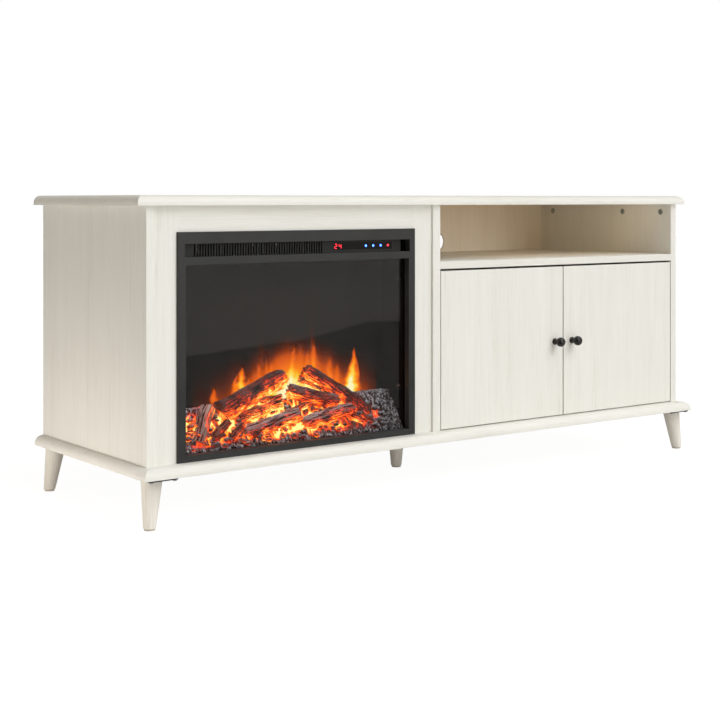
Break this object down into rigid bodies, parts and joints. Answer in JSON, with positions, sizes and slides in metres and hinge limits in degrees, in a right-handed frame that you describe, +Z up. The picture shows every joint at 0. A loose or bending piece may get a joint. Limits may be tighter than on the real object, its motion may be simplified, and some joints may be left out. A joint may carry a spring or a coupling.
{
  "type": "electric fireplace",
  "caption": "Low cabinet on splayed legs with an electric log fire behind glass, an open bay and a two-door cupboard beside it.",
  "frame": {"origin": "on the floor, under the centre of the object's bounding box", "axes": "+Z up, +X to the right as seen from the front, +Y from the front to the back"},
  "size_m": [1.524, 0.4984, 0.63],
  "materials": {
    "oak_laminate": "ivory oak-grain laminate on board, satin",
    "back_board": "thin back board, tan",
    "leg_wood": "turned solid wood, ivory lacquer",
    "black_steel": "black powder coat",
    "zinc_steel": "zinc plated",
    "cam_zinc": "dark die-cast zinc",
    "hinge_nickel": "nickel plated steel",
    "knob_black": "black lacquer, semi-gloss",
    "glide_plastic": "moulded ivory nylon",
    "bezel_grey": "satin dark grey powder coat",
    "dark_glass": "clear toughened glass, lightly tinted",
    "grille_plastic": "black moulded plastic",
    "display_black": "glossy black lens",
    "circuit_board": "green solder mask",
    "housing_black": "matt black coated steel sheet",
    "ember_resin": "translucent cast resin, ash and coal colours",
    "log_resin": "cast resin, charred bark",
    "flame_film": "smoked diffusing sheet",
    "reflector_foil": "bright foil",
    "motor_steel": "plated steel can",
    "gland_plastic": "black nylon"
  },
  "bodies": {
    "cabinet": {"top_panel": "oak_laminate", "base_panel": "oak_laminate", "left_side_panel": "oak_laminate", "right_side_panel": "oak_laminate", "centre_partition": "oak_laminate", "left_stile": "oak_laminate", "right_stile": "oak_laminate", "top_rail": "oak_laminate", "fixed_shelf": "oak_laminate", "adjustable_shelf": "oak_laminate", "rear_rails": "oak_laminate", "cupboard_back": "back_board", "leg_front_left": "leg_wood", "leg_front_right": "leg_wood", "leg_rear_left": "leg_wood", "leg_rear_right": "leg_wood", "leg_centre": "leg_wood", "leg_plates": "black_steel", "leg_plate_screws": "zinc_steel", "hanger_bolts": "zinc_steel", "cam_bolts": "zinc_steel", "hinge_plate_screws": "zinc_steel", "insert_screws": "zinc_steel", "insert_brackets": "zinc_steel", "shelf_pins": "zinc_steel", "cam_locks": "cam_zinc", "hinge_arms": "hinge_nickel", "hinge_mounting_plates": "hinge_nickel", "leg_glides": "glide_plastic", "shaft_bushes": "glide_plastic", "bezel_frame": "bezel_grey", "front_glass": "dark_glass", "front_grille": "grille_plastic", "display_window": "display_black", "control_board": "circuit_board", "ember_led_board": "circuit_board", "firebox_housing": "housing_black", "rear_cover": "housing_black", "ember_bed": "ember_resin", "rear_left_log": "log_resin", "rear_right_log": "log_resin", "centre_log": "log_resin", "front_logs": "log_resin", "flame_screen": "flame_film", "heating_element": "reflector_foil", "rotor_motor": "motor_steel", "blower_motor": "motor_steel", "heater_duct": "motor_steel", "thermal_cutout": "motor_steel", "inlet_gland": "gland_plastic"},
    "left_door": {"left_door": "oak_laminate", "left_hinge_cups": "hinge_nickel", "left_knob": "knob_black", "left_knob_screw": "zinc_steel"},
    "right_door": {"right_door": "oak_laminate", "right_hinge_cups": "hinge_nickel", "right_knob": "knob_black", "right_knob_screw": "zinc_steel"},
    "flame_rotor": {"flame_rotor": "reflector_foil"},
    "blower_impeller": {"blower_impeller": "reflector_foil"}
  },
  "joints": [
    {"name": "left_door_hinge", "type": "hinge", "parent": "cabinet", "child": "left_door", "pos_m": [-0.01, -0.21125, 0.29275], "axis": [0, 0, -1], "range_deg": [0, 95]},
    {"name": "right_door_hinge", "type": "hinge", "parent": "cabinet", "child": "right_door", "pos_m": [0.708, -0.21125, 0.29275], "axis": [0, 0, 1], "range_deg": [0, 95]},
    {"name": "flame_rotor_spin", "type": "hinge", "parent": "cabinet", "child": "flame_rotor", "pos_m": [-0.383, -0.07225, 0.192], "axis": [1, 0, 0], "continuous": true},
    {"name": "blower_spin", "type": "hinge", "parent": "cabinet", "child": "blower_impeller", "pos_m": [-0.478, -0.12225, 0.5258], "axis": [1, 0, 0], "continuous": true}
  ]
}
